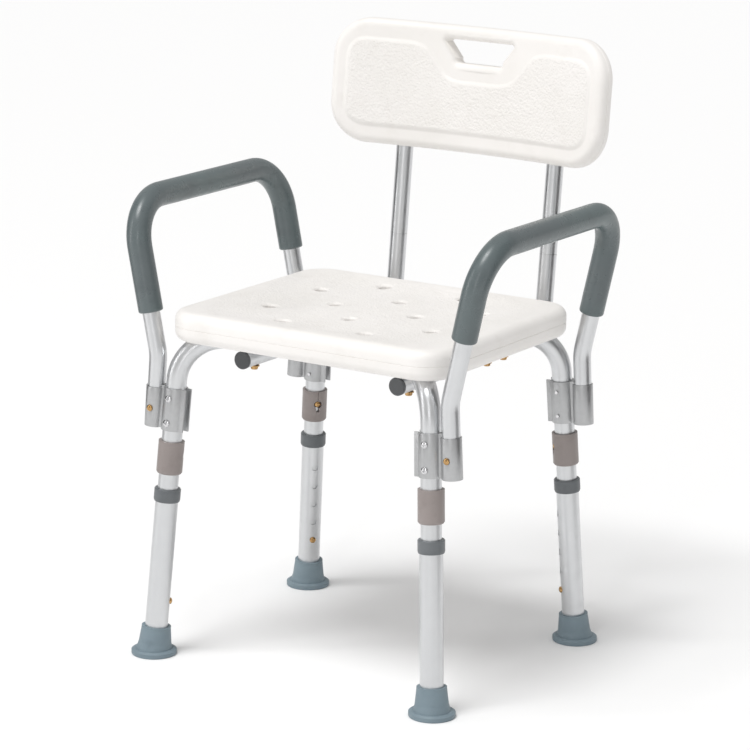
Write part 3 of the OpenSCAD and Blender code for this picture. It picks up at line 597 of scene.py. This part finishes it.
def make_seat():
    """The moulded seat: dished top, wavy rim round a pebbled panel, lipped drain holes, parting line."""
    w, d, t = SEAT_HI.x - SEAT_LO.x, SEAT_HI.y - SEAT_LO.y, SEAT_T
    verts, faces = slab_mesh(w, d, t, SEAT_CORNER, SEAT_EDGE, 0.003)
    cutters = [drain_cutter(x, y, t) for x, y in drain_places()]
    points, polys = cut(verts, faces, cutters)
    for angle in (LEG_PLAN, -LEG_PLAN):
        for tool in channel_cutters(angle):
            points, polys = cut(points, polys, [tool])
    x, y, z = points.T.copy()
    top = smoothstep(0.0, t / 2 - 0.001, z)
    wave_x = 0.024 + 0.010 * np.cos((x - 0.03) * 2 * math.pi / 0.118)
    wave_y = 0.022 + 0.007 * np.cos(y * 2 * math.pi / 0.117)
    rim = np.minimum(d / 2 - np.abs(y) - wave_x, w / 2 - np.abs(x) - wave_y)
    corner = math.hypot(1, 1) * 0.5 * ((w / 2 - np.abs(x)) + (d / 2 - np.abs(y))) - 0.052
    rim = np.minimum(rim, corner)
    panel = smoothstep(-0.002, 0.004, rim)
    bowl = smoothstep(0.0, 0.085, w / 2 - np.abs(x) - 0.012)
    bowl *= smoothstep(0.0, 0.06, d / 2 - np.abs(y) - 0.010)
    points[:, 2] = z - (SEAT_DISH * bowl + PANEL_SINK * panel) * top
    panel *= top > 0.9
    for side in (-1, 1):
        verts, faces = seat_boss(side * RAIL_X, BOSS_Y)
        base = len(points)
        points = np.vstack([points, np.array(verts)])
        polys += [tuple(base + i for i in f) for f in faces]
    panel = np.concatenate([panel, np.zeros(len(points) - len(panel))])
    points = points + np.array(SEAT_MID)
    seat = add_piece("seat_shell", points, polys, "white_plastic", "frame", "seat", math.radians(40))
    set_panel(seat, panel)


make_seat()

# ---------------------------------------------------------------- backrest
BACK_TILT = math.radians(5.6)
BACK_Y = 0.2375
BACK_REF_Z = 0.436
BACK_CURVE = 0.545
BACK_MID_L = 0.2449
BACK_MID_Y = -0.0067
BACK_H = 0.163
BACK_T = 0.026
BACK_CORNER = 0.052
BACK_EDGE = 0.0105
BACK_FLAT = 0.1549
TUBE_S = 0.1096
TUBE_T = 0.0180
TUBE_R = 0.01115
TUBE_TOP = 0.0631
PANEL_RISE = 0.0016
HANDLE_R = 0.005
HANDLE_FLARE = 0.0085
HANDLE_DEEP = 0.0065
HANDLE_REAR = 0.003
HANDLE_CORNERS = ((0.046, 0.058, 15, 90), (-0.046, 0.058, 90, 165),
                  (-0.030, 0.038, 165, 270), (0.030, 0.038, -90, 15))
PANEL_LINE = [(-0.186, 0.000), (-0.186, -0.057), (-0.120, -0.057), (0.000, -0.057), (0.120, -0.057),
              (0.186, -0.057), (0.186, 0.000), (0.186, 0.055), (0.130, 0.055), (0.088, 0.055),
              (0.068, 0.030), (0.048, 0.0095), (0.000, 0.0095), (-0.044, 0.0095), (-0.064, 0.034),
              (-0.082, 0.055), (-0.130, 0.055), (-0.186, 0.055)]


def back_place():
    """Matrix of the backrest's frame, as in the CAD: z up the tubes, y to the rear."""
    return Matrix.Translation((0, BACK_Y - MID_Y, BACK_REF_Z)) @ Matrix.Rotation(-BACK_TILT, 4, "X")


def bend_back(points):
    """Bend a flat backrest, laid in x, t and h, round its curve."""
    s, t, h = points.T
    a = np.clip(s, -BACK_FLAT, BACK_FLAT) / BACK_CURVE
    r = BACK_CURVE + t
    over = s - np.clip(s, -BACK_FLAT, BACK_FLAT)
    x = r * np.sin(a) + over * np.cos(a)
    y = BACK_MID_Y - BACK_CURVE + r * np.cos(a) - over * np.sin(a)
    return np.stack([x, y, h + BACK_MID_L], 1)


def handle_ring(grow, t):
    """Outline of the handle opening at depth t, grown by a margin."""
    pts = []
    r = HANDLE_R + grow
    for x, h, start, end in HANDLE_CORNERS:
        for i in range(9):
            a = math.radians(start + (end - start) * i / 8)
            pts.append((x + r * math.cos(a), t, h + r * math.sin(a)))
    return pts


def make_backrest():
    """The curved backrest: raised pebbled panel, flared handle, tube grooves behind, parting line."""
    w = 2 * (BACK_FLAT + BACK_CORNER)
    verts, faces = slab_mesh(w, BACK_H, BACK_T, BACK_CORNER, BACK_EDGE, 0.0015)
    flat = [(x, -z, y) for x, y, z in verts]
    front = -BACK_T / 2
    rings = [handle_ring(HANDLE_FLARE, front - 0.002)]
    for i in range(8):
        a = math.radians(90 * i / 7)
        rings.append(handle_ring(HANDLE_FLARE * (1 - math.sin(a)), front + HANDLE_DEEP * (1 - math.cos(a))))
    for i in range(6):
        a = math.radians(90 * i / 5)
        rings.append(handle_ring(HANDLE_REAR * (1 - math.cos(a)), -front - HANDLE_REAR * (1 - math.sin(a))))
    rings.append(handle_ring(HANDLE_REAR, -front + 0.002))
    points, polys = cut(flat, faces, [loft(rings)])
    for side in (-1, 1):
        tube = [[(side * TUBE_S + TUBE_R * math.cos(a), TUBE_T + TUBE_R * math.sin(a), h)
                 for a in (2 * math.pi * i / 40 for i in range(40))] for h in (-0.12, TUBE_TOP)]
        points, polys = cut(points, polys, [loft(tube)])
    s, t, h = points.T.copy()
    ahead = smoothstep(-front - 0.003, -front - 0.0005, -t)
    gap = inside(np.stack([s, h], 1), rounded(PANEL_LINE))
    raised = smoothstep(-0.0016, 0.0014, gap)
    t = t - PANEL_RISE * raised * ahead
    points = bend_back(np.stack([s, t, h], 1))
    place = np.array(back_place())
    points = points @ place[:3, :3].T + place[:3, 3]
    back = add_piece("backrest_skin", points, polys, "white_plastic", "backrest", "backrest_shell",
                     math.radians(40))
    set_panel(back, smoothstep(0.001, 0.004, gap) * ahead)


make_backrest()

# ---------------------------------------------------------------- arm grips
SOCKET_X = 0.2148
SOCKET_Y = 0.160
SOCKET_Z = 0.316
SOCKET_TILT = math.radians(3.55)
ARM_LEAN = math.radians(12.2)
ARM_BEND_Z = 0.3835
ARM_TOP_Z = 0.5708
ARM_CORNER = 0.058
GRIP_R = 0.0155
GRIP_BORE = 0.0112
GRIP_BORE_DEPTH = 0.014
GRIP_LIP = 0.0028
GRIP_ENDS = {-1: 0.461, 1: 0.435}


def arm_place():
    """Matrix of the leaning frame of the +X arm, as in the CAD."""
    bend = (ARM_BEND_Z - SOCKET_Z) / math.cos(SOCKET_TILT)
    return (Matrix.Translation((SOCKET_X, -MID_Y, SOCKET_Z)) @ Matrix.Rotation(-SOCKET_TILT, 4, "Y")
            @ Matrix.Translation((0, 0, bend)) @ Matrix.Rotation(SOCKET_TILT + ARM_LEAN, 4, "Y"))


def grip_path():
    """Centre line of a grip in the y-z plane, as (y, z, direction angle)."""
    rise = (ARM_TOP_Z - ARM_BEND_Z) / math.cos(ARM_LEAN)
    low = {k: (z - ARM_BEND_Z) / math.cos(ARM_LEAN) for k, z in GRIP_ENDS.items()}
    path = []
    top, flat = rise - ARM_CORNER, SOCKET_Y - ARM_CORNER
    for z in np.linspace(low[-1], top, 18):
        path.append((-SOCKET_Y, z, 90.0))
    for a in np.linspace(0, 90, 20)[1:]:
        r = math.radians(a)
        path.append((-flat - ARM_CORNER * math.cos(r), top + ARM_CORNER * math.sin(r), 90 - a))
    for y in np.linspace(-flat, flat, 30)[1:]:
        path.append((y, rise, 0.0))
    for a in np.linspace(0, 90, 20)[1:]:
        r = math.radians(a)
        path.append((flat + ARM_CORNER * math.sin(r), top + ARM_CORNER * math.cos(r), -a))
    for z in np.linspace(top, low[1], 24)[1:]:
        path.append((SOCKET_Y, z, -90.0))
    return path


def grip_ring(spot, r, push=0.0, n=44):
    """A circle of points square to the path at one spot, pushed along it."""
    y, z, a = spot
    a = math.radians(a)
    dy, dz = math.cos(a), math.sin(a)
    y, z = y + dy * push, z + dz * push
    return [(r * math.cos(b), y - dz * r * math.sin(b), z + dy * r * math.sin(b))
            for b in (2 * math.pi * i / n for i in range(n))]


def make_grip(name, body, turned):
    """A soft sleeve over an arm's top, with rolled ends."""
    path = grip_path()
    lip = GRIP_LIP
    rings = [grip_ring(path[0], GRIP_BORE, GRIP_BORE_DEPTH), grip_ring(path[0], GRIP_BORE, lip)]
    for i in range(7):
        a = math.radians(90 * i / 6)
        rings.append(grip_ring(path[0], GRIP_R - lip * (1 - math.sin(a)), lip * (1 - math.cos(a))))
    rings += [grip_ring(p, GRIP_R) for p in path[1:-1]]
    for i in range(6, -1, -1):
        a = math.radians(90 * i / 6)
        rings.append(grip_ring(path[-1], GRIP_R - lip * (1 - math.sin(a)), -lip * (1 - math.cos(a))))
    rings += [grip_ring(path[-1], GRIP_BORE, -lip), grip_ring(path[-1], GRIP_BORE, -GRIP_BORE_DEPTH)]
    verts, faces = loft(rings)
    place = arm_place()
    if turned:
        centre = Matrix.Translation((0, -MID_Y, 0))
        place = centre @ Matrix.Rotation(math.pi, 4, "Z") @ centre.inverted() @ place
    verts = [place @ Vector(v) for v in verts]
    add_piece(name + "_sleeve", verts, faces, "grip_rubber", body, name, math.radians(50))


make_grip("arm_grip_right", "arm_right", False)
make_grip("arm_grip_left", "arm_left", True)

# ---------------------------------------------------------------- softened copies of CAD nodes
BEVEL = 0.00035
WELD = 0.000005


def softened(node, body):
    """A copy of a CAD node with its sharp edges rounded, standing for the node."""
    source = frame["nodes"][node]
    made = bmesh.new()
    made.from_mesh(source.data)
    bmesh.ops.remove_doubles(made, verts=made.verts, dist=WELD)
    bmesh.ops.dissolve_limit(made, angle_limit=math.radians(0.6), verts=made.verts, edges=made.edges)
    mesh = bpy.data.meshes.new(node + "_soft")
    made.to_mesh(mesh)
    made.free()
    piece = bpy.data.objects.new(node + "_soft", mesh)
    bpy.context.scene.collection.objects.link(piece)
    step = piece.modifiers.new("edges", "BEVEL")
    step.width, step.segments = BEVEL, 2
    step.limit_method, step.angle_limit = "ANGLE", math.radians(28)
    step.use_clamp_overlap = True
    shown = piece.evaluated_get(bpy.context.evaluated_depsgraph_get())
    done = bpy.data.meshes.new_from_object(shown)
    piece.modifiers.clear()
    piece.data = done
    dress(piece, slot_of[node], body, node, math.radians(32))


for corner in ("fr", "fl", "rl", "rr"):
    softened("bracket_" + corner, "frame")
